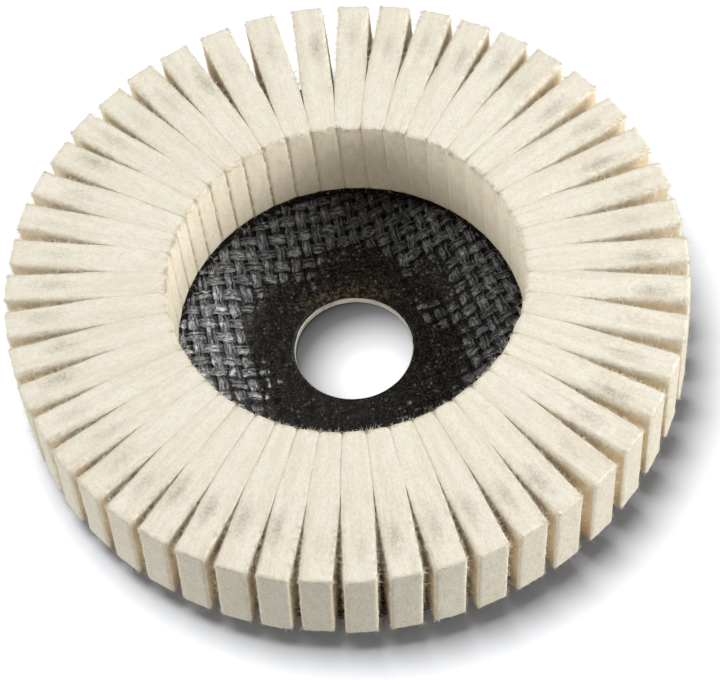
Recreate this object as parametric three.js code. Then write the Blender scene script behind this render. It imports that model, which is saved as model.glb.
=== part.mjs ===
// A felt polishing flap wheel for an angle grinder: thick wool-felt blocks stand on edge in a ring on a
// dished glass-fibre backing plate, which a steel ring lines where the grinder's spindle passes through.
//
// Millimetres, +Z up. The origin is on the bore's axis at the rear of the hub, which seats on the
// grinder's flange. The working face of the felt looks along +Z.
import * as THREE from "three";

// Driving dimensions of the wheel
const WHEEL_RADIUS = 62.5;
const BORE_RADIUS = 22.23 / 2;
const FACETS = 72;

// The dished backing plate: a flat hub, a cone, and a flat ring that carries the felt
const HUB_RADIUS = 20.4;
const CONE_OUTER_RADIUS = 30.2;
const PLATE_RADIUS = 58.5;
const DISH_DEPTH = 4.8;
const BEND_LENGTH = 1.7;
const BEND_STEPS = 2;
const PLATE_THICKNESS = 1.8;
const CLOTH_THICKNESS = 0.42;
const GLUE_LINE = 0.02;
const RIM_CHAMFER = 0.2;

// The steel ring pressed through the plate from behind
const COLLAR_WALL = 0.45;
const COLLAR_HEIGHT = 1.74;
const COLLAR_FLARE = 0.25;
const COLLAR_CLEARANCE = 0.04;
const FLANGE_RADIUS = 17;
const FLANGE_THICKNESS = 0.4;

// The adhesive that beds the felt
const BED_THICKNESS = 0.5;
const BED_INNER_RADIUS = 31.2;
const BEAD_HEIGHT = 0.9;

// The felt blocks
const FLAP_COUNT = 48;
const FLAP_WIDTH = 6.1;
const FLAP_HEIGHT = 20;
const FELT_INNER_RADIUS = 32.6;
const FLAP_GAP = 0.24;
const FLAP_CORNER = 0.8;
const FLAP_LEAN = 2.1;
const FIRST_FLAP_ANGLE = -100.5;

// Their pitch in runs of [blocks, degrees], counter-clockwise from the first block. The blocks are
// set by hand, so the pitch drifts. One last run shares out what is left of the circle.
const PITCH_RUNS = [
  [6, 7.2],
  [8, 7.8],
  [5, 8.1],
  [5, 7.5],
  [4, 8.4],
  [6, 7.2],
  [5, 7.4],
];

// The round paper label on the rear of the plate
const LABEL_INNER_RADIUS = 33.5;
const LABEL_OUTER_RADIUS = 54;
const LABEL_THICKNESS = 0.15;

// Levels along the axis, worked out from the sizes above
const PLATE_RING_REAR = DISH_DEPTH;
const PLATE_RING_FRONT = DISH_DEPTH + PLATE_THICKNESS;
const BED_FLOOR = PLATE_RING_FRONT + GLUE_LINE;
const FLAP_FLOOR = BED_FLOOR + BED_THICKNESS + GLUE_LINE;

const radians = THREE.MathUtils.degToRad;

// A solid of revolution from a closed outline of [radius, height] points, listed counter-clockwise.
function turned(outline) {
  const points = outline.map(([radius, height]) => new THREE.Vector2(radius, height));
  points.push(points[0].clone());
  const geometry = new THREE.LatheGeometry(points, FACETS);
  geometry.rotateX(Math.PI / 2);
  return geometry;
}

// The plate's dished section at one level of its thickness, from one radius out to another.
function dishLine(level, innerRadius, outerRadius) {
  const slope = DISH_DEPTH / (CONE_OUTER_RADIUS - HUB_RADIUS);
  const line = new THREE.Path();
  line.moveTo(innerRadius, level);
  line.lineTo(HUB_RADIUS - BEND_LENGTH, level);
  line.quadraticCurveTo(
    HUB_RADIUS,
    level,
    HUB_RADIUS + BEND_LENGTH,
    level + slope * BEND_LENGTH,
  );
  line.lineTo(
    CONE_OUTER_RADIUS - BEND_LENGTH,
    level + DISH_DEPTH - slope * BEND_LENGTH,
  );
  line.quadraticCurveTo(
    CONE_OUTER_RADIUS,
    level + DISH_DEPTH,
    CONE_OUTER_RADIUS + BEND_LENGTH,
    level + DISH_DEPTH,
  );
  line.lineTo(outerRadius, level + DISH_DEPTH);
  return line.getPoints(BEND_STEPS).map((point) => [point.x, point.y]);
}

// One pressed layer of the plate between two levels of its thickness.
function plateLayer(rearLevel, frontLevel, innerRadius, outerRadius) {
  const rear = dishLine(rearLevel, innerRadius, outerRadius);
  const front = dishLine(frontLevel, innerRadius, outerRadius);
  return turned([...rear, ...front.reverse()]);
}

// The black cloth pressed onto the rear of the plate, cut away round the steel ring's flange.
function rearCloth() {
  const innerRadius = FLANGE_RADIUS + COLLAR_CLEARANCE;
  return plateLayer(0, CLOTH_THICKNESS, innerRadius, PLATE_RADIUS - RIM_CHAMFER);
}

// The resin-bonded glass fibre that gives the plate its strength.
function glassCore() {
  const innerRadius = BORE_RADIUS + COLLAR_WALL + COLLAR_CLEARANCE;
  const rearLevel = CLOTH_THICKNESS + GLUE_LINE;
  const frontLevel = PLATE_THICKNESS - CLOTH_THICKNESS - GLUE_LINE;
  return plateLayer(rearLevel, frontLevel, innerRadius, PLATE_RADIUS);
}

// The black basket-weave cloth pressed onto the front of the plate.
function frontCloth() {
  const innerRadius = BORE_RADIUS + COLLAR_WALL + COLLAR_CLEARANCE;
  const rearLevel = PLATE_THICKNESS - CLOTH_THICKNESS;
  return plateLayer(rearLevel, PLATE_THICKNESS, innerRadius, PLATE_RADIUS - RIM_CHAMFER);
}

// The steel ring that lines the bore: a collar through the plate and a flange let into its rear.
function arborRing() {
  const collarRadius = BORE_RADIUS + COLLAR_WALL;
  return turned([
    [BORE_RADIUS, 0],
    [FLANGE_RADIUS, 0],
    [FLANGE_RADIUS, FLANGE_THICKNESS],
    [collarRadius, FLANGE_THICKNESS],
    [collarRadius, COLLAR_HEIGHT],
    [BORE_RADIUS + COLLAR_FLARE, COLLAR_HEIGHT],
    [BORE_RADIUS, COLLAR_HEIGHT - 2 * COLLAR_FLARE],
  ]);
}

// The adhesive under the felt, with the bead that squeezes up against the blocks' inner ends.
function adhesiveBed() {
  const bedTop = BED_FLOOR + BED_THICKNESS;
  const beadOuterRadius = FELT_INNER_RADIUS - GLUE_LINE * 3;
  return turned([
    [BED_INNER_RADIUS, BED_FLOOR],
    [PLATE_RADIUS - RIM_CHAMFER, BED_FLOOR],
    [PLATE_RADIUS - RIM_CHAMFER * 2, bedTop],
    [beadOuterRadius, bedTop],
    [beadOuterRadius, FLAP_FLOOR + BEAD_HEIGHT],
    [beadOuterRadius - BEAD_HEIGHT / 2, FLAP_FLOOR + BEAD_HEIGHT / 2],
    [BED_INNER_RADIUS, BED_FLOOR + BED_THICKNESS / 3],
  ]);
}

// The paper ring glued to the rear of the plate.
function rearLabel() {
  const front = PLATE_RING_REAR - GLUE_LINE;
  const rear = front - LABEL_THICKNESS;
  return turned([
    [LABEL_INNER_RADIUS, rear],
    [LABEL_OUTER_RADIUS, rear],
    [LABEL_OUTER_RADIUS, front],
    [LABEL_INNER_RADIUS, front],
  ]);
}

// The degrees from each block to the next one, all the way round.
function flapPitches() {
  const pitches = PITCH_RUNS.flatMap(([blocks, degrees]) => Array(blocks).fill(degrees));
  const used = pitches.reduce((sum, degrees) => sum + degrees, 0);
  const left = FLAP_COUNT - pitches.length;
  return pitches.concat(Array(left).fill((360 - used) / left));
}

// The half width that a block has at a radius, on the side whose neighbour is this many degrees away.
// Near the hub the blocks squeeze each other into wedges, and further out they keep their own width.
function halfWidthAt(radius, degreesToNeighbour) {
  const shared = radius * Math.tan(radians(degreesToNeighbour / 2)) - FLAP_GAP / 2;
  return Math.min(FLAP_WIDTH / 2, shared);
}

// The radius at which a block stops touching the neighbour on one side.
function freeRadius(degreesToNeighbour) {
  return (FLAP_WIDTH / 2 + FLAP_GAP / 2) / Math.tan(radians(degreesToNeighbour / 2));
}

// The plan of one felt block along +X: a wedge at its inner end that opens into a straight block.
function flapPlan(degreesToRight, degreesToLeft) {
  const half = FLAP_WIDTH / 2;
  const plan = new THREE.Shape();
  plan.moveTo(FELT_INNER_RADIUS, -halfWidthAt(FELT_INNER_RADIUS, degreesToRight));
  plan.lineTo(freeRadius(degreesToRight), -half);
  plan.lineTo(WHEEL_RADIUS - FLAP_CORNER, -half);
  plan.lineTo(WHEEL_RADIUS, FLAP_CORNER - half);
  plan.lineTo(WHEEL_RADIUS, half - FLAP_CORNER);
  plan.lineTo(WHEEL_RADIUS - FLAP_CORNER, half);
  plan.lineTo(freeRadius(degreesToLeft), half);
  plan.lineTo(FELT_INNER_RADIUS, halfWidthAt(FELT_INNER_RADIUS, degreesToLeft));
  plan.closePath();
  return plan;
}

// One felt block, shaped between the neighbours on its two sides. Every block leans the same way
// round the wheel, about the middle of its height.
function feltFlap(degreesToRight, degreesToLeft) {
  const geometry = new THREE.ExtrudeGeometry(flapPlan(degreesToRight, degreesToLeft), {
    depth: FLAP_HEIGHT,
    bevelEnabled: false,
  });
  const lean = new THREE.Matrix4().makeShear(0, 0, 0, 0, 0, Math.tan(radians(FLAP_LEAN)));
  geometry.translate(0, 0, -FLAP_HEIGHT / 2);
  geometry.applyMatrix4(lean);
  geometry.translate(0, 0, FLAP_HEIGHT / 2);
  return geometry;
}

// White wool felt, matt and slightly warm.
function feltMaterial() {
  return new THREE.MeshStandardMaterial({ color: 0xefe9d8, roughness: 0.95, metalness: 0 });
}

// Black cloth set in resin, with a dull shine on its yarns.
function clothMaterial() {
  return new THREE.MeshStandardMaterial({ color: 0x24221f, roughness: 0.45, metalness: 0 });
}

// Dark resin full of glass fibre.
function coreMaterial() {
  return new THREE.MeshStandardMaterial({ color: 0x2e2b26, roughness: 0.6, metalness: 0 });
}

// Dull zinc-plated steel.
function ringMaterial() {
  return new THREE.MeshStandardMaterial({ color: 0x96947f, roughness: 0.4, metalness: 0.9 });
}

// Black cured adhesive.
function adhesiveMaterial() {
  return new THREE.MeshStandardMaterial({ color: 0x1a1815, roughness: 0.35, metalness: 0 });
}

// Off-white coated paper.
function labelMaterial() {
  return new THREE.MeshStandardMaterial({ color: 0xd9d6cc, roughness: 0.6, metalness: 0 });
}

const wheel = new THREE.Group();

function addPart(name, geometry, material) {
  const mesh = new THREE.Mesh(geometry, material);
  mesh.name = name;
  wheel.add(mesh);
  return mesh;
}

addPart("backing_cloth_rear", rearCloth(), clothMaterial());
addPart("backing_core", glassCore(), coreMaterial());
addPart("backing_cloth_front", frontCloth(), clothMaterial());
addPart("arbor_ring", arborRing(), ringMaterial());
addPart("adhesive_bed", adhesiveBed(), adhesiveMaterial());
addPart("rear_label", rearLabel(), labelMaterial());

const pitches = flapPitches();
let flapAngle = FIRST_FLAP_ANGLE;
for (let index = 0; index < FLAP_COUNT; index++) {
  const degreesToRight = pitches.at(index - 1);
  const degreesToLeft = pitches[index];
  const name = `felt_flap_${String(index + 1).padStart(2, "0")}`;
  const flap = addPart(name, feltFlap(degreesToRight, degreesToLeft), feltMaterial());
  flap.position.z = FLAP_FLOOR;
  flap.rotation.z = radians(flapAngle);
  flapAngle += degreesToLeft;
}

export default wheel;
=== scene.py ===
import math

import bpy
import numpy as np
from mathutils import Matrix, Vector


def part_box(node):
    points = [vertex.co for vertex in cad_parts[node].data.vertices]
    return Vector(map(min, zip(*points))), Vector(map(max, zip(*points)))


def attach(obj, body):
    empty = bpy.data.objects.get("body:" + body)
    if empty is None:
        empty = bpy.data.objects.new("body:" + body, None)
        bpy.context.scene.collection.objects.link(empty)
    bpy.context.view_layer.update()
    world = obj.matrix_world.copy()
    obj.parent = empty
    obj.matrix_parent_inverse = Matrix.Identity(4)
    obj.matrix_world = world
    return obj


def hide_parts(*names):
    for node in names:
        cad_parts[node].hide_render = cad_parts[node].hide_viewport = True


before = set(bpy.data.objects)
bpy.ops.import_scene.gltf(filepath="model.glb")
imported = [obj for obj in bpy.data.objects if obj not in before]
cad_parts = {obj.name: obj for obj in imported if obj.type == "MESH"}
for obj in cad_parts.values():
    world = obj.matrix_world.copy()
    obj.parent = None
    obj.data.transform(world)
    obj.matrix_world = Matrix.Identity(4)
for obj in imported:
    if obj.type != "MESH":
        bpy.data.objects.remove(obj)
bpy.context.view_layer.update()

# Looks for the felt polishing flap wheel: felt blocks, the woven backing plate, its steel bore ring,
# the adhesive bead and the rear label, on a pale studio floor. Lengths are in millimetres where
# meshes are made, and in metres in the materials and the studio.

MM = 0.001
FLAP_COUNT = 48
SEED = 4127

# The plate's dish, as the CAD source has it
HUB_RADIUS = 20.4
CONE_OUTER_RADIUS = 30.2
PLATE_RADIUS = 58.5
DISH_DEPTH = 4.8
BEND_LENGTH = 1.7
PLATE_THICKNESS = 1.8
CLOTH_THICKNESS = 0.42
LAYER_GAP = 0.02

# The cloth: each yarn is a wide and a narrow ribbon side by side, given as (centre, half width)
YARN_PITCH = 2.72
WIDE_RIBBON = (-0.3, 0.62)
NARROW_RIBBON = (0.66, 0.3)
RIBBON_SPLIT = 0.34
# A ribbon narrows where it dives under (taper), varies along its length (swell) and lies off centre (drift)
YARN_TAPER = 0.16
YARN_SWELL = 0.18
YARN_DRIFT = 0.16
DRIFT_STEP = 7.13
SWELL_STEP = 3.7
SWELL_RATE = 0.55
# Its height over the weave, the share of its half width where it falls off, and the relief of the mesh
YARN_LEVEL = 0.55
YARN_WAVE = 0.42
RIBBON_FLAT = 0.78
RIBBON_EDGE = 1.04
PIT_DEPTH = 0.36
CROWN_RISE = 0.2

FLAP_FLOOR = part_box("felt_flap_01")[0].z / MM
FLAP_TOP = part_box("felt_flap_01")[1].z / MM
FELT_INNER_RADIUS = 32.6
WHEEL_RADIUS = 62.5


# ---- Noise and mesh helpers ----

def lattice_noise(points, cell, seed):
    """Smooth noise in -1..1 at each point, with features about cell wide, from a hash of lattice corners."""
    scaled = points / cell
    base = np.floor(scaled).astype(np.int64)
    part = scaled - base
    part = part * part * (3 - 2 * part)
    total = np.zeros(len(points))
    for corner in range(8):
        offset = np.array([corner & 1, corner >> 1 & 1, corner >> 2 & 1])
        cell_id = base + offset
        mixed = cell_id[:, 0] * 73856093 ^ cell_id[:, 1] * 19349663 ^ cell_id[:, 2] * 83492791
        mixed = (mixed ^ seed * 2654435761) & 0xFFFFFFFF
        mixed = (mixed ^ mixed >> 15) * 2246822519 & 0xFFFFFFFF
        mixed = (mixed ^ mixed >> 13) * 3266489917 & 0xFFFFFFFF
        value = (mixed ^ mixed >> 16) / 0xFFFFFFFF * 2 - 1
        weight = np.prod(np.where(offset == 1, part, 1 - part), axis=1)
        total += value * weight
    return total


def fractal_noise(points, cell, seed, octaves=3):
    """A sum of lattice noise at halving sizes."""
    total = np.zeros(len(points))
    for octave in range(octaves):
        total += lattice_noise(points, cell / 2 ** octave, seed + octave) / 2 ** octave
    return total


def smooth_step(value, low, high):
    """Rises from 0 at low to 1 at high, smoothly at both ends."""
    part = np.clip((value - low) / (high - low), 0, 1)
    return part * part * (3 - 2 * part)


def mesh_object(name, vertices_mm, faces):
    """A smooth shaded mesh object from millimetre vertices and a list of faces."""
    mesh = bpy.data.meshes.new(name)
    mesh.from_pydata([tuple(v) for v in np.asarray(vertices_mm) * MM], [], faces)
    mesh.validate()
    mesh.polygons.foreach_set("use_smooth", [True] * len(mesh.polygons))
    mesh.update()
    piece = bpy.data.objects.new(name, mesh)
    bpy.context.scene.collection.objects.link(piece)
    return piece


def point_attribute(piece, name, values):
    """A number at each vertex for the materials to read."""
    attribute = piece.data.attributes.new(name, "FLOAT", "POINT")
    attribute.data.foreach_set("value", np.asarray(values, np.float32))


def grid_faces(rows, columns, wrap=False, flip=False):
    """Quads between the points of a rows by columns grid stored row by row, closed both ways by wrap."""
    faces = []
    for row in range(rows if wrap else rows - 1):
        next_row = (row + 1) % rows
        for column in range(columns if wrap else columns - 1):
            next_column = (column + 1) % columns
            face = (
                row * columns + column,
                row * columns + next_column,
                next_row * columns + next_column,
                next_row * columns + column,
            )
            faces.append(face[::-1] if flip else face)
    return faces


# ---- Node material helpers ----

class Nodes:
    """Builds one node material with short calls."""

    def __init__(self, name):
        self.material = bpy.data.materials.new(name)
        self.material.use_nodes = True
        self.tree = self.material.node_tree
        self.shader = next(n for n in self.tree.nodes if n.type == "BSDF_PRINCIPLED")

    def put(self, socket, value):
        if isinstance(value, bpy.types.NodeSocket):
            self.tree.links.new(value, socket)
        else:
            socket.default_value = value

    def add(self, kind, **inputs):
        """A node with its inputs by name, or by number as in_0, in_1 and so on. Gives its first output."""
        node = self.tree.nodes.new(kind)
        for key, value in inputs.items():
            known = int(key[3:]) if key.startswith("in_") else key.replace("_", " ")
            self.put(node.inputs[known], value)
        return node.outputs[0]

    def place(self):
        return self.tree.nodes.new("ShaderNodeTexCoord").outputs["Object"]

    def scaled(self, vector, scale):
        return self.add("ShaderNodeMapping", in_0=vector, in_3=scale)

    def noise(self, vector, scale, detail=3.0, roughness=0.55, distortion=0.0):
        return self.add(
            "ShaderNodeTexNoise", Vector=vector, Scale=scale, Detail=detail, Roughness=roughness,
            Distortion=distortion,
        )

    def ramp(self, value, stops):
        node = self.tree.nodes.new("ShaderNodeValToRGB")
        elements = node.color_ramp.elements
        while len(elements) < len(stops):
            elements.new(0.5)
        for element, (position, colour) in zip(elements, stops):
            element.position = position
            if not isinstance(colour, tuple):
                colour = (colour, colour, colour)
            element.color = (*colour, 1)
        self.put(node.inputs[0], value)
        return node.outputs[0]

    def mix(self, factor, first, second, blend="MIX"):
        node = self.tree.nodes.new("ShaderNodeMix")
        node.data_type = "RGBA"
        node.blend_type = blend
        self.put(node.inputs[0], factor)
        for socket, value in ((node.inputs[6], first), (node.inputs[7], second)):
            if isinstance(value, float):
                value = (value, value, value)
            if isinstance(value, tuple):
                value = (*value, 1)
            self.put(socket, value)
        return node.outputs[2]

    def math(self, operation, first, second=0.0, third=None):
        node = self.tree.nodes.new("ShaderNodeMath")
        node.operation = operation
        self.put(node.inputs[0], first)
        self.put(node.inputs[1], second)
        if third is not None:
            self.put(node.inputs[2], third)
        return node.outputs[0]

    def times(self, first, *others):
        for value in others:
            first = self.math("MULTIPLY", first, value)
        return first

    def plus(self, first, second):
        return self.math("ADD", first, second)

    def minus(self, first, second):
        return self.math("SUBTRACT", first, second)

    def linear(self, value, scale, offset):
        return self.math("MULTIPLY_ADD", value, scale, offset)

    def tinted(self, factor, colour, tint):
        """The colour, multiplied by a tint as far as the factor says."""
        return self.mix(factor, colour, self.mix(1.0, colour, tint, "MULTIPLY"))

    def fade(self, value, low, high, start=0.0, end=1.0):
        node = self.tree.nodes.new("ShaderNodeMapRange")
        node.interpolation_type = "SMOOTHSTEP"
        self.put(node.inputs[0], value)
        for index, number in enumerate((low, high, start, end)):
            node.inputs[1 + index].default_value = number
        return node.outputs[0]

    def attribute(self, name):
        node = self.tree.nodes.new("ShaderNodeAttribute")
        node.attribute_name = name
        return node.outputs["Fac"]

    def parts(self, vector):
        node = self.tree.nodes.new("ShaderNodeSeparateXYZ")
        self.put(node.inputs[0], vector)
        return node.outputs

    def specks(self, vector, scale, high, low):
        """Small round dots at random places, with soft edges."""
        return self.fade(self.add("ShaderNodeTexVoronoi", Vector=vector, Scale=scale), high, low)

    def bump(self, height, strength, distance):
        node = self.tree.nodes.new("ShaderNodeBump")
        node.inputs["Strength"].default_value = strength
        node.inputs["Distance"].default_value = distance
        self.put(node.inputs["Height"], height)
        return node.outputs[0]

    def finish(self, **inputs):
        for key, value in inputs.items():
            if isinstance(value, tuple) and len(value) == 3:
                value = (*value, 1)
            self.put(self.shader.inputs[key.replace("_", " ")], value)
        return self.material


def radius_of(n, x, y):
    """The distance from the axis as a node value."""
    return n.math("SQRT", n.plus(n.times(x, x), n.times(y, y)))


# The smudge on each block's top, in metres
SMUDGE_RADIUS = 0.0518
SMUDGE_WANDER = 0.0042
SMUDGE_SHIFT = 0.0016
SMUDGE_LENGTH = 0.0058
SMUDGE_WIDTH = 0.0021


def felt_material():
    """Pressed wool felt: matt cream with long soft streaks, fine fibre, and a grey smudge near the rim."""
    n = Nodes("wool_felt")
    place = n.place()
    x, y, z = n.parts(place)
    # Each block's own colour holds three random numbers, which move the patterns and set its tint
    own = n.tree.nodes.new("ShaderNodeObjectInfo").outputs["Color"]
    tint = n.parts(own)
    shift = n.add("ShaderNodeVectorMath", in_0=place, in_1=own)

    side = n.attribute("side")
    end = n.attribute("end")
    groove = n.attribute("groove")
    mottle = n.noise(shift, 300, 4, 0.6)
    streak = n.noise(n.scaled(shift, (55, 620, 300)), 1.0, 4, 0.6, 0.3)
    fibre = n.noise(n.scaled(shift, (800, 2100, 2100)), 1.0, 3, 0.7, 1.2)
    grain = n.noise(shift, 2100, 3, 0.7)

    colour = n.ramp(mottle, [(0.36, (0.875, 0.805, 0.66)), (0.64, (0.94, 0.885, 0.75))])
    colour = n.mix(n.fade(streak, 0.47, 0.6, 0.0, 0.75), colour, (0.8, 0.72, 0.575))
    colour = n.mix(n.fade(streak, 0.48, 0.36, 0.0, 0.65), colour, (0.945, 0.895, 0.78))
    colour = n.mix(n.fade(fibre, 0.5, 0.64, 0.0, 0.5), colour, (0.95, 0.905, 0.785))
    colour = n.mix(n.fade(fibre, 0.5, 0.38, 0.0, 0.45), colour, (0.7, 0.62, 0.475))
    dark_grain = n.times(n.linear(end, 0.35, 0.3), n.fade(grain, 0.49, 0.38))
    colour = n.mix(dark_grain, colour, (0.6, 0.535, 0.405))
    pale_grain = n.times(n.linear(end, 0.45, 0.3), n.fade(grain, 0.53, 0.66))
    colour = n.mix(pale_grain, colour, (0.955, 0.92, 0.81))
    pink = n.mix(0.5, colour, (0.93, 0.84, 0.74))
    green = n.mix(0.5, colour, (0.83, 0.83, 0.66))
    hue = n.mix(n.fade(n.noise(shift, 150, 2), 0.35, 0.65), pink, green)
    colour = n.mix(0.45, colour, hue)
    colour = n.mix(n.times(tint[1], 0.16), colour, (0.78, 0.72, 0.58))
    colour = n.tinted(n.times(end, 0.85), colour, (0.63, 0.625, 0.585))

    # The soft grey smudge on the top, about 8 mm in from the rim
    centre = n.linear(tint[0], SMUDGE_WANDER, SMUDGE_RADIUS)
    along = n.math("DIVIDE", n.minus(x, centre), SMUDGE_LENGTH)
    aside = n.times(n.minus(tint[2], 0.5), SMUDGE_SHIFT)
    across = n.math("DIVIDE", n.plus(y, aside), SMUDGE_WIDTH)
    blotch = n.noise(shift, 700, 4, 0.65)
    smudge = n.fade(n.plus(radius_of(n, along, across), n.times(blotch, 1.1)), 1.55, 0.45)
    smudge = n.times(smudge, n.fade(z, 0.0262, 0.0268), n.linear(tint[2], 0.38, 0.13))
    smudge = n.times(smudge, n.fade(grain, 0.38, 0.62, 1.25, 0.75))
    colour = n.mix(smudge, colour, (0.31, 0.255, 0.18))

    # Painted shade in the seams of the pressed zone, on the tops and down the inner wall, and grime along
    # the top of the inner wall
    colour = n.mix(n.times(groove, 0.14), colour, (0.7, 0.61, 0.45))
    rim = n.times(n.fade(x, 0.0338, 0.0326), n.fade(z, 0.025, 0.0264))
    rim = n.times(rim, n.fade(n.noise(shift, 520, 3, 0.6), 0.5, 0.66))
    colour = n.mix(n.times(rim, 0.5), colour, (0.34, 0.28, 0.19))
    # The inner wall is tinted darker and warmer: painted shade in the well of the wheel
    wall = n.fade(x, 0.0334, 0.0328)
    colour = n.tinted(n.times(wall, 0.8), colour, (0.94, 0.915, 0.86))

    # Down the inner wall the seams are painted: painted shade on the left of the wheel (values above 0) and
    # a painted highlight on the right (values below 0)
    stitch = n.times(n.attribute("stitch"), wall)
    ragged = n.fade(n.noise(n.scaled(shift, (1, 1, 0.35)), 1300, 2, 0.6), 0.4, 0.56)
    seam_shade = n.times(n.math("MAXIMUM", stitch, 0.0), ragged)
    colour = n.mix(n.times(seam_shade, 0.78), colour, (0.25, 0.18, 0.085))
    seam_highlight = n.math("MAXIMUM", n.times(stitch, -1.0), 0.0)
    colour = n.mix(n.times(seam_highlight, 0.8), colour, (0.97, 0.925, 0.8))

    # Fine dark specks, and painted shade down the sides in the gaps: warm tan below the top, browner and
    # darker deeper down
    speck = n.times(n.specks(shift, 330, 0.11, 0.04), n.fade(n.noise(shift, 160, 2), 0.62, 0.75))
    colour = n.mix(n.times(speck, 0.5), colour, (0.16, 0.12, 0.09))
    depth = n.plus(z, n.times(n.minus(blotch, 0.5), 0.008))
    tan = n.times(side, n.fade(depth, 0.0272, 0.0235))
    colour = n.mix(n.times(tan, 0.85), colour, (0.76, 0.62, 0.4))
    brown = n.times(side, n.fade(depth, 0.0175, 0.0065))
    colour = n.mix(n.times(brown, 0.7), colour, (0.42, 0.3, 0.16))

    height = n.plus(n.times(fibre, 0.6), n.times(grain, 0.5))
    normal = n.bump(height, 0.7, 0.00014)
    return n.finish(
        Base_Color=colour, Roughness=n.fade(mottle, 0.3, 0.7, 0.86, 0.97), Normal=normal,
        Sheen_Weight=0.25, Sheen_Roughness=0.5, Sheen_Tint=(1.0, 0.97, 0.92), Specular_IOR_Level=0.2,
    )


def yarn_nodes(n, across, along, sign):
    """One set of yarns as nodes: their height, the place across a ribbon, and the ribbon's number."""
    lane = n.math("FLOOR", n.math("DIVIDE", across, YARN_PITCH))
    inside = n.minus(across, n.times(n.plus(lane, 0.5), YARN_PITCH))
    drift = n.math("SINE", n.times(lane, DRIFT_STEP))
    inside = n.linear(drift, YARN_DRIFT, inside)
    flip = n.minus(1.0, n.times(n.math("FLOORED_MODULO", lane, 2.0), 2.0))
    wave = n.times(n.math("SINE", n.times(along, math.pi / YARN_PITCH)), flip)
    wave = n.times(wave, sign)
    narrow = n.math("GREATER_THAN", inside, RIBBON_SPLIT)
    centre = n.linear(narrow, NARROW_RIBBON[0] - WIDE_RIBBON[0], WIDE_RIBBON[0])
    half = n.linear(narrow, NARROW_RIBBON[1] - WIDE_RIBBON[1], WIDE_RIBBON[1])
    swell = n.math("SINE", n.plus(n.times(lane, SWELL_STEP), n.times(along, SWELL_RATE)))
    taper = n.linear(wave, YARN_TAPER, 1.0)
    half = n.times(half, n.linear(swell, YARN_SWELL, taper))
    share = n.math("DIVIDE", n.minus(inside, centre), half)
    crown = n.fade(n.math("ABSOLUTE", share), RIBBON_EDGE, RIBBON_FLAT)
    level = n.times(crown, n.linear(wave, YARN_WAVE, YARN_LEVEL))
    yarn = n.linear(lane, 2.0, narrow)
    return level, share, yarn


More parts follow.
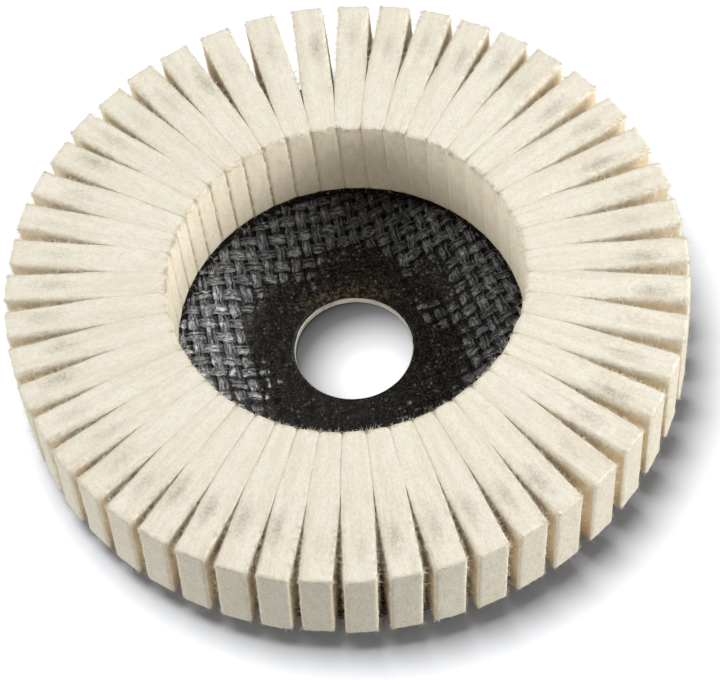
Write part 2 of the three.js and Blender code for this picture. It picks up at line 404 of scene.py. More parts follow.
def cloth_material(name, shine):
    """Black glass cloth in resin: flat ribbon yarns that catch the light, with dull pits between them."""
    n = Nodes(name)
    place = n.place()
    u = n.attribute("u")
    v = n.attribute("v")
    bare = n.attribute("bare")
    dust = n.noise(place, 1500, 4, 0.75)
    cloud = n.noise(place, 160, 3, 0.6)
    fine = n.noise(place, 3600, 3, 0.6)
    # The yarns' edges wander by about half a millimetre
    u = n.linear(n.minus(n.noise(place, 620, 4, 0.7), 0.5), 1.1, u)
    wander = n.noise(n.scaled(place, (700, 640, 600)), 1.0, 4, 0.7)
    v = n.linear(n.minus(wander, 0.5), 1.1, v)

    warp, warp_share, warp_yarn = yarn_nodes(n, u, v, 1.0)
    weft, weft_share, weft_yarn = yarn_nodes(n, v, u, -1.0)
    over = n.math("GREATER_THAN", warp, weft)
    level = n.math("MAXIMUM", warp, weft)
    share = n.mix(over, weft_share, warp_share)
    along = n.mix(over, u, v)
    number = n.mix(over, n.plus(weft_yarn, 57.0), warp_yarn)
    thread = n.add("ShaderNodeCombineXYZ", in_0=n.times(share, 1.9), in_1=along, in_2=number)
    filament = n.noise(n.scaled(thread, (1.0, 0.55, 7.31)), 1.0, 4, 0.8)
    patch = n.noise(n.scaled(thread, (0.25, 0.42, 3.17)), 1.0, 2, 0.5)
    yarn = n.fade(n.plus(level, bare), 1.1, 1.24)

    pit = n.mix(n.fade(cloud, 0.4, 0.6), (0.001, 0.0008, 0.0007), (0.004, 0.0034, 0.0029))
    raised = n.mix(n.fade(filament, 0.45, 0.56), (0.003, 0.0028, 0.0026), (0.085, 0.084, 0.083))
    raised = n.mix(n.fade(patch, 0.58, 0.44, 0.0, 0.8), raised, (0.01, 0.0095, 0.009))
    # Yarns are darker where they dive under the crossing yarns: painted shade
    raised = n.mix(n.fade(level, 0.75, 0.3, 0.0, 0.85), raised, (0.006, 0.0056, 0.0052))
    resin = n.mix(n.fade(dust, 0.47, 0.6), (0.0022, 0.0018, 0.0015), (0.034, 0.029, 0.022))
    rust = n.times(n.fade(cloud, 0.5, 0.62), n.fade(fine, 0.52, 0.6, 0.0, 0.7))
    resin = n.mix(rust, resin, (0.042, 0.026, 0.017))
    resin = n.mix(n.fade(fine, 0.54, 0.64, 0.0, 0.9), resin, (0.08, 0.072, 0.06))
    # Brown crust on the hub behind the bore
    x, y, z = n.parts(place)
    crust = n.times(n.fade(y, 0.0085, 0.012), n.fade(radius_of(n, x, y), 0.0165, 0.0125))
    crust = n.times(crust, n.fade(dust, 0.44, 0.6))
    resin = n.mix(crust, resin, (0.135, 0.098, 0.066))
    resin = n.mix(n.fade(level, 0.55, 0.15, 0.0, 0.75), resin, (0.0024, 0.002, 0.0017))
    colour = n.mix(n.fade(bare, 0.75, 0.45), pit, resin)
    colour = n.mix(yarn, colour, raised)
    speck = n.times(n.specks(place, 900, 0.34, 0.16), n.fade(n.noise(place, 420, 2), 0.48, 0.6))
    colour = n.mix(n.times(speck, 0.6), colour, (0.2, 0.19, 0.165))

    yarn_roughness = n.fade(filament, 0.62, 0.4, shine, shine + 0.22)
    roughness = n.mix(yarn, n.fade(dust, 0.4, 0.6, 0.62, 0.42), yarn_roughness)
    glint = n.times(n.fade(level, 0.25, 0.8, 0.45, 1.0), n.fade(filament, 0.43, 0.57, 0.18, 1.0))
    gloss = n.mix(yarn, 0.04, glint)
    strands = n.times(n.times(filament, yarn), 1.1)
    height = n.plus(n.times(level, bare), n.linear(fine, 0.22, strands))
    normal = n.bump(height, 1.0, 0.00032)
    return n.finish(Base_Color=colour, Roughness=roughness, Normal=normal, Specular_IOR_Level=gloss)


def core_material():
    """Dark resin packed with glass fibre, paler where the cut edge is worn."""
    n = Nodes("glass_laminate")
    place = n.place()
    layers = n.noise(n.scaled(place, (500, 500, 7000)), 1.0, 4, 0.65)
    dust = n.noise(place, 1400, 4, 0.65)
    colour = n.ramp(
        layers, [(0.35, (0.01, 0.009, 0.008)), (0.6, (0.045, 0.038, 0.03)), (0.78, (0.19, 0.165, 0.125))]
    )
    colour = n.mix(n.fade(dust, 0.55, 0.8, 0.0, 0.6), colour, (0.14, 0.12, 0.095))
    normal = n.bump(n.plus(layers, dust), 0.6, 0.00012)
    return n.finish(Base_Color=colour, Roughness=n.fade(dust, 0.3, 0.7, 0.55, 0.85), Normal=normal)


def ring_material():
    """Zinc-plated steel, brushed round the bore, stained by resin, with a painted highlight along its rolled
    lip.
    """
    n = Nodes("zinc_plated_steel")
    place = n.place()
    x, y, z = n.parts(place)
    lip_highlight = n.attribute("edge")
    turn = n.math("ARCTAN2", y, x)
    rings = n.add("ShaderNodeCombineXYZ", in_0=n.times(turn, 12.0), in_1=n.times(z, 9000.0))
    brush = n.noise(rings, 1.0, 4, 0.7)
    stain = n.noise(place, 260, 4, 0.65)
    colour = n.ramp(brush, [(0.3, (0.36, 0.345, 0.27)), (0.7, (0.6, 0.585, 0.49))])
    colour = n.mix(n.fade(stain, 0.52, 0.72, 0.0, 0.7), colour, (0.27, 0.235, 0.155))
    # A painted highlight along the top of the rolled lip
    colour = n.mix(n.times(lip_highlight, 0.6), colour, (0.8, 0.79, 0.74))
    roughness = n.plus(n.fade(brush, 0.3, 0.7, 0.38, 0.55), n.fade(stain, 0.5, 0.75, 0.0, 0.25))
    return n.finish(
        Base_Color=colour, Metallic=n.fade(stain, 0.55, 0.8, 0.85, 0.35), Roughness=roughness,
        Normal=n.bump(brush, 0.25, 0.00005),
    )


def adhesive_material():
    """Black cured adhesive: uneven, half glossy, with wool fibres and dust caught in it."""
    n = Nodes("black_adhesive")
    place = n.place()
    lump = n.noise(place, 700, 4, 0.6)
    fine = n.noise(place, 3000, 3, 0.6)
    colour = n.ramp(lump, [(0.35, (0.0022, 0.0018, 0.0015)), (0.7, (0.01, 0.008, 0.006))])
    colour = n.mix(n.fade(fine, 0.6, 0.7, 0.0, 0.6), colour, (0.1, 0.08, 0.055))
    colour = n.mix(n.times(n.specks(place, 900, 0.22, 0.1), 0.6), colour, (0.34, 0.3, 0.22))
    normal = n.bump(n.plus(lump, n.times(fine, 0.6)), 1.0, 0.0004)
    return n.finish(
        Base_Color=colour, Roughness=n.fade(lump, 0.3, 0.7, 0.5, 0.75), Normal=normal,
        Specular_IOR_Level=0.12,
    )


def lint_material():
    """Threads of adhesive and stained wool: black, brown and tan in patches."""
    n = Nodes("gap_lint")
    place = n.place()
    x, y, z = n.parts(place)
    patch = n.noise(place, 900, 3, 0.7)
    high = n.linear(n.fade(z, 0.01, 0.022), 0.16, patch)
    colour = n.ramp(
        high, [(0.42, (0.012, 0.009, 0.006)), (0.5, (0.16, 0.11, 0.055)), (0.62, (0.7, 0.56, 0.34))]
    )
    return n.finish(Base_Color=colour, Roughness=n.fade(patch, 0.4, 0.6, 0.6, 0.9), Specular_IOR_Level=0.25)


def label_material():
    """Coated paper with two plain printed rings, scuffed and slightly yellowed."""
    n = Nodes("label_paper")
    place = n.place()
    x, y, z = n.parts(place)
    radius = radius_of(n, x, y)
    pulp = n.noise(place, 1500, 4, 0.6)
    stain = n.noise(place, 70, 4, 0.6)
    colour = n.mix(n.fade(pulp, 0.3, 0.7), (0.66, 0.645, 0.59), (0.74, 0.73, 0.69))
    ink_edge = 0.00008
    for low, high, ink in ((0.035, 0.0362, (0.055, 0.06, 0.07)), (0.05, 0.053, (0.3, 0.065, 0.045))):
        band = n.times(n.fade(radius, low, low + ink_edge), n.fade(radius, high + ink_edge, high))
        worn = n.times(band, n.fade(n.noise(place, 900, 5, 0.7), 0.3, 0.42))
        colour = n.mix(worn, colour, ink)
    colour = n.mix(n.fade(stain, 0.5, 0.75, 0.0, 0.4), colour, (0.52, 0.46, 0.36))
    scuff = n.noise(n.scaled(place, (260, 2400, 900)), 1.0, 4, 0.7)
    colour = n.mix(n.fade(scuff, 0.66, 0.8, 0.0, 0.6), colour, (0.36, 0.33, 0.3))
    return n.finish(
        Base_Color=colour, Roughness=n.fade(scuff, 0.4, 0.75, 0.42, 0.7),
        Normal=n.bump(n.plus(pulp, n.times(stain, 2.0)), 0.3, 0.00006),
    )


# ---- Felt blocks ----

BLOCK_WIDTH = 6.1
# The mesh cells along, across and up a block, and how far fine cells reach from its top and foot
CELL_ALONG = 0.27
CELL_ACROSS = 0.45
CELL_UP = 0.62
FINE_MARGIN = 0.9
EDGE_RADIUS = 0.85
EDGE_STEPS = 4
GROOVE_DEPTH = 0.08
GROOVE_WIDTH = 0.33
# How far a block's sides swell past the CAD solid, so that pressed blocks just touch
PRESS = 0.14
# The felt's own unevenness: long waves, short lumps, and how far its skin lies inside the CAD solid
SKIN_WAVE = 0.05
SKIN_LUMP = 0.055
SKIN_INSET = 0.1
EDGE_FIBRES = 1300
FLANK_FIBRES = 650
LINT_PER_GAP = 260
FIBRE_RADIUS = 0.04


def block_frame(name):
    """A CAD block's angle round the wheel, its lean, and its two sides in plan, from its own vertices."""
    points = {tuple(round(c / MM, 4) for c in v.co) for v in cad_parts[name].data.vertices}
    points = np.array(sorted(points))
    centre = points.mean(axis=0)
    foot = points[points[:, 2] < centre[2]]
    head = points[points[:, 2] > centre[2]]
    middle = foot.mean(axis=0) + head.mean(axis=0)
    angle = math.atan2(middle[1], middle[0])
    turn = np.array([[math.cos(angle), math.sin(angle)], [-math.sin(angle), math.cos(angle)]])
    foot_plan = foot[:, :2] @ turn.T
    head_plan = head[:, :2] @ turn.T
    shift = head_plan[:, 1].mean() - foot_plan[:, 1].mean()
    plan = foot_plan + [0, shift / 2]
    sides = {}
    for sign in (-1, 1):
        side = plan[plan[:, 1] * sign > 0]
        side = side[np.argsort(side[:, 0])]
        sides[sign] = side[:3]
    return angle, shift, sides


def edge_ticks(length, cell, margin=0.0):
    """Positions along a side: close steps over the rounded edge at each end, fine cells over the margin."""
    turn = [EDGE_RADIUS * (1 - math.cos(step / EDGE_STEPS * math.pi / 2)) for step in range(EDGE_STEPS)]
    start = EDGE_RADIUS + margin
    rim = list(np.arange(EDGE_RADIUS, start - CELL_ALONG / 2, CELL_ALONG))
    body = np.linspace(start, length - start, max(2, round((length - 2 * start) / cell)))
    low = [*turn, *rim]
    return np.array([*low, *body, *[length - t for t in reversed(low)]])


def dense_box(size):
    """A dense box centred on the origin: sharp points, the same points rounded, normals and faces."""
    spans = ((size[0], CELL_ALONG, 0.0), (size[1], CELL_ACROSS, 0.0), (size[2], CELL_UP, FINE_MARGIN))
    ticks = [edge_ticks(*span) - span[0] / 2 for span in spans]
    counts = [len(t) for t in ticks]
    index = {}
    vertices = []
    faces = []

    def vertex(spot):
        if spot not in index:
            index[spot] = len(vertices)
            vertices.append([ticks[axis][spot[axis]] for axis in range(3)])
        return index[spot]

    for axis in range(3):
        first, second = (axis + 1) % 3, (axis + 2) % 3
        for end in (0, counts[axis] - 1):
            for a in range(counts[first] - 1):
                for b in range(counts[second] - 1):
                    corners = []
                    for step_a, step_b in ((0, 0), (1, 0), (1, 1), (0, 1)):
                        spot = [0, 0, 0]
                        spot[axis], spot[first], spot[second] = end, a + step_a, b + step_b
                        corners.append(vertex(tuple(spot)))
                    faces.append(tuple(corners if end else corners[::-1]))
    sharp = np.array(vertices)
    limit = np.array(size) / 2 - EDGE_RADIUS
    core = np.clip(sharp, -limit, limit)
    out = sharp - core
    normals = out / np.maximum(np.linalg.norm(out, axis=1, keepdims=True), 1e-9)
    rounded = core + normals * EDGE_RADIUS
    return sharp, rounded, normals, faces


def strand_mesh(roots, directions, lengths, radius, rng, bend, rings):
    """Closed tapered fibres with three sides. Each starts under the surface and curls as it leaves."""
    count = len(roots)
    sides = np.cross(directions, rng.normal(size=(count, 3)))
    sides /= np.linalg.norm(sides, axis=1, keepdims=True) + 1e-9
    others = np.cross(directions, sides)
    sway = rng.normal(size=(count, 2)) * bend
    lengths = np.asarray(lengths)[:, None]
    points = []
    for ring in range(rings + 1):
        share = ring / rings
        curl = share * share * lengths
        centre = roots + directions * share * lengths
        centre = centre + sides * sway[:, :1] * curl + others * sway[:, 1:] * curl
        if ring == rings:
            points.append(centre)
            continue
        for corner in range(3):
            turn = corner * 2 * math.pi / 3
            spoke = sides * math.cos(turn) + others * math.sin(turn)
            points.append(centre + spoke * radius * (1 - 0.45 * share))
    vertices = np.stack(points, axis=1).reshape(-1, 3)
    pattern = [(2, 1, 0)]
    for corner in range(3):
        after = (corner + 1) % 3
        for ring in range(rings - 1):
            low = ring * 3
            pattern.append((low + corner, low + after, low + 3 + after, low + 3 + corner))
        low = (rings - 1) * 3
        pattern.append((low + corner, low + after, rings * 3))
    stride = rings * 3 + 1
    faces = [tuple(start * stride + i for i in face) for start in range(count) for face in pattern]
    return vertices, faces


def loose_fibres(skin, normals, weights, count, lengths, bend, rings, rng):
    """Fibres that start at points of a block's skin, picked by weight, and stand off it at all angles."""
    picks = rng.choice(len(skin), count, p=weights / weights.sum())
    directions = normals[picks] + rng.normal(0, 0.6, (count, 3))
    directions /= np.linalg.norm(directions, axis=1, keepdims=True)
    shortest, spread = lengths
    lengths = shortest + spread * rng.random(count) ** 2
    roots = skin[picks] + rng.normal(0, 0.14, (count, 3)) - normals[picks] * 0.1
    return strand_mesh(roots, directions, lengths, FIBRE_RADIUS, rng, bend, rings)


def felt_skin(sharp, rounded, free, inner_end, sides, lean_shift):
    """A block's points in its CAD block's place, with soft edges where it stands free, and their radius."""
    soft_side = 0.04 + 0.96 * free
    soft_rim = np.maximum(soft_side, 0.6 * inner_end)
    box = sharp + (rounded - sharp) * np.column_stack([soft_rim, soft_side, soft_rim])
    radius = box[:, 0] + (WHEEL_RADIUS + FELT_INNER_RADIUS) / 2
    right = np.interp(radius, sides[-1][:, 0], -sides[-1][:, 1]) + PRESS * (1 - free)
    left = np.interp(radius, sides[1][:, 0], sides[1][:, 1]) + PRESS * (1 - free)
    share = box[:, 1] / (BLOCK_WIDTH / 2)
    lean = lean_shift * box[:, 2] / (FLAP_TOP - FLAP_FLOOR)
    aside = np.where(share < 0, share * right, share * left) + lean
    return np.column_stack([radius, aside, box[:, 2] + (FLAP_TOP + FLAP_FLOOR) / 2]), radius


def felt_block(number, material):
    """One felt block: soft edges, a slightly wavy skin and short loose fibres, in its CAD block's place."""
    name = f"felt_flap_{number:02d}"
    angle, lean_shift, sides = block_frame(name)
    rng = np.random.default_rng(SEED + number)
    height = FLAP_TOP - FLAP_FLOOR
    sharp, rounded, normals, faces = dense_box((WHEEL_RADIUS - FELT_INNER_RADIUS, BLOCK_WIDTH, height))
    from_side = BLOCK_WIDTH / 2 - np.abs(sharp[:, 1])

    # Blocks press on each other near the axis, and part where the CAD block's sides turn
    reach = sharp[:, 0] + (WHEEL_RADIUS + FELT_INNER_RADIUS) / 2
    parting = np.where(sharp[:, 1] < 0, sides[-1][1, 0], sides[1][1, 0]) + rng.normal(0, 0.6)
    free = smooth_step(reach, parting - 7.5, parting + 3)
    inner_end = smooth_step(-sharp[:, 0], 13.6, 14.6)
    box, radius = felt_skin(sharp, rounded, free, inner_end, sides, lean_shift)
    seeded = box + number * 97.0
    skin = fractal_noise(seeded, 4.0, 11, 2) * SKIN_WAVE + fractal_noise(seeded, 0.8, 31, 3) * SKIN_LUMP
    pressed = (1 - free) * (1 - smooth_step(from_side, 0, 0.3))
    box += normals * ((skin - SKIN_INSET) * (0.35 + 0.65 * free) * (1 - pressed))[:, None]

    # The side of the wheel that the block is on: gaps at the front hold most fibres, those at the back few
    across, along = math.cos(angle), math.sin(angle)
    at_back, at_front = smooth_step(along, 0.3, 0.8), smooth_step(-along, 0.5, 0.9)
    at_left = smooth_step(-across, -0.1, 0.35) * (0.4 + 0.6 * smooth_step(along, 0.15, 0.7))
    at_right = smooth_step(across, 0.1, 0.5)

    # Where two pressed blocks meet: a shallow valley on the top and down the wall, a low ridge on the right
    valley = np.exp(-((from_side / GROOVE_WIDTH) ** 2)) * (1 - free)
    edge_of_top = (sharp[:, 2] > height / 2 - 0.01) * 1.0
    edge_of_end = (sharp[:, 0] < sharp[:, 0].min() + 0.01) * 1.0
    uneven = 1 + 0.5 * lattice_noise(seeded, 3.0, 46)
    box[:, 2] -= valley * edge_of_top * GROOVE_DEPTH * uneven
    box[:, 0] += valley * edge_of_end * GROOVE_DEPTH * uneven * (1 - 1.7 * at_right)
    # At the top of the inner wall the corners are nipped off and the lip is ragged
    lip = smooth_step(box[:, 2], FLAP_TOP - 1.6, FLAP_TOP - 0.1) * smooth_step(-sharp[:, 0], 12.8, 14.8)
    notch = np.exp(-((from_side / 0.62) ** 2)) * lip * uneven
    tear = (fractal_noise(seeded, 0.9, 47, 2) + lattice_noise(seeded, 2.2, 48) * at_right) * 0.2 * lip
    box[:, 0] += notch * 0.15 + tear
    box[:, 2] -= notch * 0.13 - tear * 0.8
    # The free outer end stands a little out of true, as hand-set felt does
    outer = smooth_step(radius, 42, 62)
    box[:, 1] += outer * rng.normal(0, 0.1)
    box[:, 0] -= outer * abs(rng.normal(0, 0.15))
    box[:, 2] -= smooth_step(box[:, 2], 20, 27) * (0.03 + abs(rng.normal(0, 0.06)))

    flank = smooth_step(np.abs(normals[:, 1]), 0.75, 1.0)
    edge = (np.abs(normals) > 0.25).sum(axis=1) > 1
    high = np.where(box[:, 2] > FLAP_TOP - 1.2, 1.0, 0.5)
    fuzz = edge * np.maximum(free, 0.5 * inner_end) * high + 0.02
    shag = (flank > 0.6) * free * (0.25 + smooth_step(box[:, 2], 12, 24))
    shag_count = round(FLANK_FIBRES * (1 + 1.4 * at_front - 0.9 * at_back))
    vertices, all_faces, near_side = [box], list(faces), [flank]
    for weights, count, lengths, bend, rings, side in (
        (fuzz, EDGE_FIBRES, (0.25, 0.62), 0.9, 2, 0.35),
        (shag, shag_count, (0.38, 0.72), 0.8, 3, 1.0),
    ):
        hair, hair_faces = loose_fibres(box, normals, weights, count, lengths, bend, rings, rng)
        start = sum(len(part) for part in vertices)
        vertices.append(hair)
        all_faces += [tuple(i + start for i in face) for face in hair_faces]
        near_side.append(np.full(len(hair), side))

    piece = mesh_object(f"felt_block_{number:02d}", np.vstack(vertices), all_faces)
    point_attribute(piece, "side", np.concatenate(near_side))
    hairs = np.zeros(len(piece.data.vertices) - len(box))
    for mask, values in (
        ("end", smooth_step(normals[:, 0], 0.6, 0.95)),
        # painted shade in the seams where pressed blocks meet
        ("groove", valley * np.maximum(edge_of_top, edge_of_end)),
        # painted shade for the wall seams on the left of the wheel, painted highlight on the right
        ("stitch", valley * edge_of_end * (at_left - at_right)),
    ):
        point_attribute(piece, mask, np.concatenate([values, hairs]))
    piece.rotation_euler.z = angle
    piece.color = (rng.random(), rng.random(), rng.random(), 1)
    return settle(piece, material, "felt", name)


def settle(piece, material, slot, *nodes):
    """Gives a piece its material, fixes it to the wheel and hides the CAD nodes that it stands for, if any.
    """
    piece.data.materials.append(material)
    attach(piece, "root")
    if nodes:
        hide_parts(*nodes)
    return piece


# ---- The backing plate ----

def dish_height(radius):
    """The height of the dished section above its hub, with the CAD's rounded bends."""
    radius = np.asarray(radius, float)
    slope = DISH_DEPTH / (CONE_OUTER_RADIUS - HUB_RADIUS)
    cone = (radius - HUB_RADIUS) * slope
    height = np.clip(cone, 0, DISH_DEPTH)
    for centre, sign in ((HUB_RADIUS, 1), (CONE_OUTER_RADIUS, -1)):
        near = np.abs(radius - centre) < BEND_LENGTH
        share = (radius - centre + BEND_LENGTH) / (2 * BEND_LENGTH)
        curve = share * share * slope * BEND_LENGTH
        if sign < 0:
            share = 1 - share
            curve = DISH_DEPTH - share * share * slope * BEND_LENGTH
        height = np.where(near, curve, height)
    return height


def yarn_place(x, y):
    """Where points lie across the warp (u) and across the weft (v), with the drift of hand-laid cloth."""
    swing = np.radians(6 + 9 * smooth_step(x, -20, 32))
    u = x * np.cos(swing) + y * np.sin(swing)
    v = -x * np.sin(swing) + y * np.cos(swing)
    points = np.column_stack([x, y, np.zeros_like(x)])
    u = u + lattice_noise(points, 8, 71) * 0.45 + lattice_noise(points, 2.2, 72) * 0.16
    v = v + lattice_noise(points, 8, 73) * 0.45 + lattice_noise(points, 2.2, 74) * 0.16
    return u, v


def yarn_level(across, along, sign):
    """How high one set of yarns stands, in 0..1, in the same pattern as yarn_nodes draws."""
    lane = np.floor(across / YARN_PITCH)
    inside = across - (lane + 0.5) * YARN_PITCH + np.sin(lane * DRIFT_STEP) * YARN_DRIFT
    wave = np.sin(along / YARN_PITCH * math.pi) * np.where(lane % 2 == 0, 1.0, -1.0) * sign
    narrow = inside > RIBBON_SPLIT
    centre = np.where(narrow, NARROW_RIBBON[0], WIDE_RIBBON[0])
    half = np.where(narrow, NARROW_RIBBON[1], WIDE_RIBBON[1])
    half = half * (1 + YARN_TAPER * wave + YARN_SWELL * np.sin(lane * SWELL_STEP + along * SWELL_RATE))
    share = np.abs((inside - centre) / half)
    return (1 - smooth_step(share, RIBBON_FLAT, RIBBON_EDGE)) * (YARN_LEVEL + YARN_WAVE * wave)


def plate_skin(name, radii, rear, columns, bareness):
    """One woven face of the plate as a closed skin: woven outside, smooth where it meets the core."""
    inner, outer = radii[0], radii[-1]
    roll, roll_depth = 0.5, 0.45
    back_rows = 10
    turns = np.arange(columns) / columns * 2 * math.pi
    radius, turn = (grid.ravel() for grid in np.meshgrid(radii, turns, indexing="ij"))
    x, y = radius * np.cos(turn), radius * np.sin(turn)
    u, v = yarn_place(x, -y if rear else y)
    points = np.column_stack([x, y, np.zeros_like(x)])
    top = np.maximum(yarn_level(u, v, 1), yarn_level(v, u, -1))
    top = np.clip(top * (1 + 0.3 * fractal_noise(points, 1.3, 75, 2)), 0, 1)
    bare = bareness(points, radius)
    lumps = fractal_noise(points, 1.6, 57, 3)
    relief = bare * (top * (PIT_DEPTH + CROWN_RISE) - PIT_DEPTH) + (1 - bare) * lumps * 0.05 + lumps * 0.02
    # The edge at the bore rolls down, and the rear yarns stay low, near the CAD solid
    lip = np.clip((inner + roll - radius) / roll, 0, 1)
    relief -= roll_depth * (1 - np.sqrt(1 - lip * lip))
    if rear:
        outside = dish_height(radius) - np.minimum(relief, 0.08)
        inside_level = CLOTH_THICKNESS
    else:
        outside = dish_height(radius) + PLATE_THICKNESS + relief
        inside_level = PLATE_THICKNESS - CLOTH_THICKNESS
    skin = np.column_stack([x, y, outside])
    radius, turn = (
        grid.ravel() for grid in np.meshgrid(np.linspace(outer, inner, back_rows), turns, indexing="ij")
    )
    x, y = radius * np.cos(turn), radius * np.sin(turn)
    back = np.column_stack([x, y, dish_height(radius) + inside_level])
    faces = grid_faces(len(radii) + back_rows, columns, wrap=True, flip=not rear)
    piece = mesh_object(name, np.vstack([skin, back]), faces)
    back_u, back_v = yarn_place(x, -y if rear else y)
    point_attribute(piece, "u", np.concatenate([u, back_u]))
    point_attribute(piece, "v", np.concatenate([v, back_v]))
    point_attribute(piece, "bare", np.concatenate([bare, np.zeros(len(back))]))
    return piece


def front_bareness(points, radius):
    """How far the front weave stands out of its resin: fully on the cone, in odd marks on the hub."""
    patch = fractal_noise(points, 6, 51, 3)
    cone = smooth_step(radius + patch * 2.6, 19.0, 25.0)
    right = smooth_step(points[:, 0], -2, 16)
    marks = smooth_step(patch + 0.5 * right, 0.1, 0.8) * (0.24 + 0.22 * right)
    marks = marks * smooth_step(radius, 13, 16) * (1 - 0.5 * smooth_step(-points[:, 1], 6, 18))
    return np.clip(np.maximum(cone, marks) * (0.9 + 0.15 * patch), 0.05, 1)


def rear_bareness(points, radius):
    """The rear weave stands out evenly, with a few flooded patches."""
    return np.clip(0.75 + 0.35 * fractal_noise(points, 9, 53, 3), 0.2, 1)


def turned_piece(name, outline, segments, wobble):
    """A solid of revolution from a closed outline of (radius, height) points, then made uneven by wobble."""
    outline = np.asarray(outline, float)
    turns = np.arange(segments) / segments * 2 * math.pi
    radius = np.repeat(outline[:, 0], segments)
    height = np.repeat(outline[:, 1], segments)
    turn = np.tile(turns, len(outline))
    vertices = np.column_stack([radius * np.cos(turn), radius * np.sin(turn), height])
    faces = grid_faces(len(outline), segments, wrap=True, flip=True)
    return mesh_object(name, wobble(vertices), faces)


def refined(outline, step):
    """The same closed outline with points no further apart than step."""
    points = []
    for (r0, z0), (r1, z1) in zip(outline, outline[1:] + outline[:1]):
        count = max(1, math.ceil(math.hypot(r1 - r0, z1 - z0) / step))
        points += [(r0 + (r1 - r0) * i / count, z0 + (z1 - z0) * i / count) for i in range(count)]
    return points


def plate_core():
    """The glass-fibre core between the cloths, with a ragged cut rim."""
    radii = np.linspace(11.61, PLATE_RADIUS, 26)
    lower = CLOTH_THICKNESS + LAYER_GAP
    upper = PLATE_THICKNESS - CLOTH_THICKNESS - LAYER_GAP
    outline = [(r, dish_height(r) + lower) for r in radii]
    outline += [(r, dish_height(r) + upper) for r in radii[::-1]]

    def ragged(vertices):
        radius = np.hypot(vertices[:, 0], vertices[:, 1])
        rim = smooth_step(radius, PLATE_RADIUS - 0.4, PLATE_RADIUS)
        cut = 1 - rim * (0.06 + 0.08 * np.abs(fractal_noise(vertices, 0.9, 91, 2))) / radius
        vertices[:, :2] *= cut[:, None]
        return vertices

    return turned_piece("laminate_core", outline, 720, ragged)


def bore_ring():
    """The steel ring: a flange let into the rear, a collar, and a lip rolled over at the front."""
    outline = [
        (11.115, 0.1), (11.22, 0.0), (16.85, 0.0), (17.0, 0.12), (16.92, 0.4), (12.0, 0.42), (11.62, 0.62),
        (11.565, 1.0), (11.56, 1.3), (11.48, 1.44), (11.3, 1.46), (11.16, 1.38), (11.115, 1.2),
    ]

    def dented(vertices):
        turn = np.arctan2(vertices[:, 1], vertices[:, 0])
        points = np.column_stack([np.cos(turn) * 4, np.sin(turn) * 4, vertices[:, 2] * 0.2])
        lip = smooth_step(vertices[:, 2], 1.2, 1.8)
        vertices[:, 2] += lip * fractal_noise(points, 1.1, 101, 3) * 0.05
        return vertices

    piece = turned_piece("bore_ring", refined(outline, 0.18), 288, dented)
    heights = np.array([v.co.z / MM for v in piece.data.vertices])
    # The top of the lip, where the ring's material paints a highlight
    point_attribute(piece, "edge", smooth_step(heights, 1.2, 1.4))
    return piece


def adhesive_bead():
    """The adhesive under the felt, with an uneven bead squeezed up against the blocks' inner ends."""
    bed_floor = PLATE_THICKNESS + DISH_DEPTH + LAYER_GAP
    bed_top = bed_floor + 0.5
    outline = [
        (32.0, bed_floor - 0.25), (PLATE_RADIUS - 0.3, bed_floor), (PLATE_RADIUS - 0.45, bed_top),
        (32.9, bed_top), (32.6, FLAP_FLOOR + 0.25), (32.4, FLAP_FLOOR + 0.1), (32.15, bed_floor + 0.2),
    ]

    def lumpy(vertices):
        radius = np.hypot(vertices[:, 0], vertices[:, 1])
        near = 1 - smooth_step(radius, 32.6, 33.4)
        high = smooth_step(vertices[:, 2], bed_floor, bed_floor + 0.3)
        swell = fractal_noise(vertices * [1, 1, 0.5], 2.1, 111, 3)
        fine = fractal_noise(vertices, 0.7, 117, 2)
        vertices[:, 2] += near * high * (swell * 0.5 + fine * 0.3)
        push = near * (swell * 0.4 + fine * 0.35) / radius
        vertices[:, :2] *= (1 - np.maximum(push, -0.009))[:, None]
        return vertices

    return turned_piece("adhesive_bead", refined(outline, 0.6), 900, lumpy)


def label_ring():
    """The round paper label on the rear of the plate, cockled a little by its glue."""
    outline = [(33.5, 4.64), (53.9, 4.62), (54.0, 4.72), (53.9, 4.78), (33.5, 4.78)]

    def cockled(vertices):
        lower = vertices[:, 2] < 4.7
        vertices[lower, 2] += fractal_noise(vertices[lower], 7.0, 121, 3) * 0.025
        return vertices

    return turned_piece("label_ring", refined(outline, 0.8), 360, cockled)


def gap_lint(material, angles):
    """Wool fibres and threads of adhesive caught low in the gaps between the blocks, few at the back."""
    rng = np.random.default_rng(SEED + 900)
    turn = np.repeat(angles, LINT_PER_GAP) + rng.normal(0, 0.011, len(angles) * LINT_PER_GAP)
    radius = rng.uniform(42, 60.5, len(turn))
    height = np.minimum(FLAP_FLOOR + 0.1 + np.abs(rng.normal(0, 3.4, len(turn))), 21)
    kept = rng.random(len(turn)) > 0.97 * smooth_step(np.sin(turn), -0.95, 0.4)
    turn, radius, height = turn[kept], radius[kept], height[kept]
    roots = np.column_stack([radius * np.cos(turn), radius * np.sin(turn), height])
    directions = rng.normal(size=roots.shape)
    directions /= np.linalg.norm(directions, axis=1, keepdims=True)
    lengths = rng.uniform(0.5, 1.8, len(turn))
    vertices, faces = strand_mesh(roots, directions, lengths, FIBRE_RADIUS * 1.05, rng, 0.8, 2)
    piece = mesh_object("gap_lint", vertices, faces)
    return settle(piece, material, "adhesive")


# ---- Build ----

felt = felt_material()
blocks = [felt_block(number, felt) for number in range(1, FLAP_COUNT + 1)]
block_angles = np.unwrap([block.matrix_world.to_euler().z for block in blocks])
next_angles = np.append(block_angles[1:], block_angles[0] + 2 * math.pi)
gap_lint(lint_material(), (block_angles + next_angles) / 2)

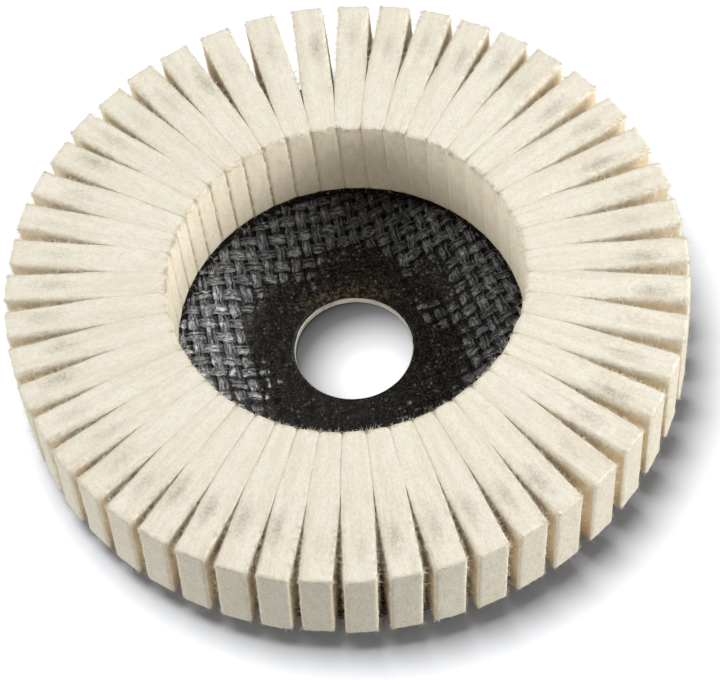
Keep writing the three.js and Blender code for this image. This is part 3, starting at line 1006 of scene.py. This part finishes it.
# The front weave is seen closest, so its mesh is finest, and finer on the cone than on the smooth hub
front_radii = np.concatenate([np.arange(11.2, 19.0, 0.3), np.arange(19.0, 33.0, 0.166)])
front = plate_skin("front_weave", front_radii, False, 800, front_bareness)
rear = plate_skin("rear_weave", np.linspace(17.04, 58.3, 115), True, 760, rear_bareness)
settle(front, cloth_material("front_cloth", 0.3), "backing_cloth", "backing_cloth_front")
settle(rear, cloth_material("rear_cloth", 0.38), "backing_cloth", "backing_cloth_rear")
settle(plate_core(), core_material(), "glass_core", "backing_core")
settle(bore_ring(), ring_material(), "arbor_steel", "arbor_ring")
settle(adhesive_bead(), adhesive_material(), "adhesive", "adhesive_bed")
settle(label_ring(), label_material(), "label_paper", "rear_label")


# ---- Studio: floor, lights, camera ----

FLOOR_SIZE = 2000
# The rear weave stands a little below the hub, so the floor lies under its lowest yarn
FLOOR_DROP = 0.09
LAMP_DISTANCE = 0.9
CAMERA_WORLD, DIFFUSE_WORLD, GLOSSY_WORLD = 0.9, 0.37, 0.1

# The camera that was fitted to the rims and the bore in the photograph: metres and radians
CAMERA_DISTANCE = 0.50097
CAMERA_RISE = 1.012215
CAMERA_YAW = -0.00259
CAMERA_PITCH = -0.003256
CAMERA_ROLL = 0.111111
CAMERA_TARGET = Vector((0, 0, 0.00714))
CAMERA_LENS = 133.475


def studio_floor():
    """A pale matt floor that the wheel rests on."""
    steps = 9
    ticks = np.linspace(-FLOOR_SIZE / 2, FLOOR_SIZE / 2, steps)
    x, y = np.meshgrid(ticks, ticks)
    vertices = np.column_stack([x.ravel(), y.ravel(), np.full(steps * steps, -FLOOR_DROP)])
    floor = mesh_object("studio_floor", vertices, grid_faces(steps, steps))
    n = Nodes("studio_floor")
    grain = n.noise(n.place(), 40, 3)
    colour = n.mix(n.fade(grain, 0.3, 0.7), (0.608, 0.617, 0.636), (0.623, 0.632, 0.652))
    # The wheel's own contact shade on the floor, seen through the bore: it clears towards the front right
    x, y, z = n.parts(n.place())
    clear = radius_of(n, n.minus(x, 0.0034), n.plus(y, 0.0063))
    stops = [(0.22, 0.0), (0.36, 0.22), (0.475, 0.38), (0.74, 0.87), (0.9, 0.965)]
    shade = n.times(n.ramp(n.times(clear, 50.0), stops), n.fade(radius_of(n, x, y), 0.0145, 0.0135))
    colour = n.mix(shade, colour, (0.012, 0.012, 0.012))
    # Light that bounces off the floor is dimmer than the floor looks, so the wheel's sides stay shaded
    seen = n.tree.nodes.new("ShaderNodeLightPath").outputs["Is Camera Ray"]
    colour = n.mix(seen, (0.45, 0.45, 0.46), colour)
    floor.data.materials.append(n.finish(Base_Color=colour, Roughness=0.9, Specular_IOR_Level=0.1))
    return floor


def softbox(name, azimuth, elevation, size, watts):
    """A round area light that faces the wheel from a direction given in degrees, unseen by the camera."""
    light = bpy.data.lights.new(name, "AREA")
    light.shape = "DISK"
    light.size = size
    light.energy = watts
    lamp = bpy.data.objects.new(name, light)
    turn, rise = math.radians(azimuth), math.radians(elevation)
    direction = Vector((math.cos(turn) * math.cos(rise), math.sin(turn) * math.cos(rise), math.sin(rise)))
    lamp.location = direction * LAMP_DISTANCE
    lamp.rotation_euler = direction.to_track_quat("Z", "Y").to_euler()
    lamp.visible_camera = False
    bpy.context.scene.collection.objects.link(lamp)
    return lamp


def camera():
    """The camera at the photograph's viewing angle: 58 degrees up, turned a little about its axis."""
    ahead = Vector((0, math.cos(CAMERA_RISE), -math.sin(CAMERA_RISE)))
    start = CAMERA_TARGET - ahead * CAMERA_DISTANCE
    right = Vector((1, 0, 0))
    up = right.cross(ahead)
    yaw = Matrix.Rotation(CAMERA_YAW, 3, up)
    ahead, right = yaw @ ahead, yaw @ right
    pitch = Matrix.Rotation(CAMERA_PITCH, 3, right)
    ahead, up = pitch @ ahead, pitch @ up
    roll = Matrix.Rotation(CAMERA_ROLL, 3, ahead)
    right, up = roll @ right, roll @ up
    lens = bpy.data.cameras.new("camera")
    lens.sensor_width = 36
    lens.lens = CAMERA_LENS
    lens.clip_start = 0.01
    lens.clip_end = 10
    piece = bpy.data.objects.new("camera", lens)
    basis = Matrix((right, up, -ahead)).transposed()
    piece.matrix_world = Matrix.Translation(start) @ basis.to_4x4()
    bpy.context.scene.collection.objects.link(piece)
    bpy.context.scene.camera = piece


def link_only(lamp, thing, state="INCLUDE"):
    """Makes a lamp light only one thing, or everything but that thing."""
    group = bpy.data.collections.new(lamp.name + "_link")
    group.objects.link(thing)
    group.collection_objects[0].light_linking.link_state = state
    lamp.light_linking.receiver_collection = group


floor = studio_floor()
for name, azimuth, elevation, size, watts in (
    ("right_high", 0, 35, 0.4, 3.95),
    ("right_front_low", -22, 15, 0.4, 4.8),
    ("left_low", 180, 15, 0.4, 4.1),
    ("left_back", 150, 35, 0.4, 1.7),
):
    link_only(softbox(name, azimuth, elevation, size, watts), floor, "EXCLUDE")
link_only(softbox("floor_light", 171, 82, 0.38, 12.2), floor)
# Lamps for the plate alone, each where the cone's yarns mirror it towards the camera
for name, azimuth, elevation, watts in (
    ("left_glint", 32, 36, 41.0),
    ("left_back_glint", 4, 52, 11.0),
    ("right_glint", 160, 44, 11.5),
):
    glint = softbox(name, azimuth, elevation, 0.34, watts)
    glint.visible_diffuse = False
    link_only(glint, front)
camera()

# The world looks pale to the camera, fills the light a little, and is dim in reflections
world = bpy.data.worlds.new("studio")
world.use_nodes = True
links, nodes = world.node_tree.links, world.node_tree.nodes
nodes["Background"].inputs[0].default_value = (1, 1, 1, 1)
rays = nodes.new("ShaderNodeLightPath").outputs
fill, strength = nodes.new("ShaderNodeMapRange"), nodes.new("ShaderNodeMapRange")
fill.inputs["To Min"].default_value = DIFFUSE_WORLD
fill.inputs["To Max"].default_value = GLOSSY_WORLD
strength.inputs["To Max"].default_value = CAMERA_WORLD
links.new(rays["Is Glossy Ray"], fill.inputs["Value"])
links.new(rays["Is Camera Ray"], strength.inputs["Value"])
links.new(fill.outputs[0], strength.inputs["To Min"])
links.new(strength.outputs[0], nodes["Background"].inputs[1])
bpy.context.scene.world = world
bpy.context.scene.view_settings.view_transform = "Standard"
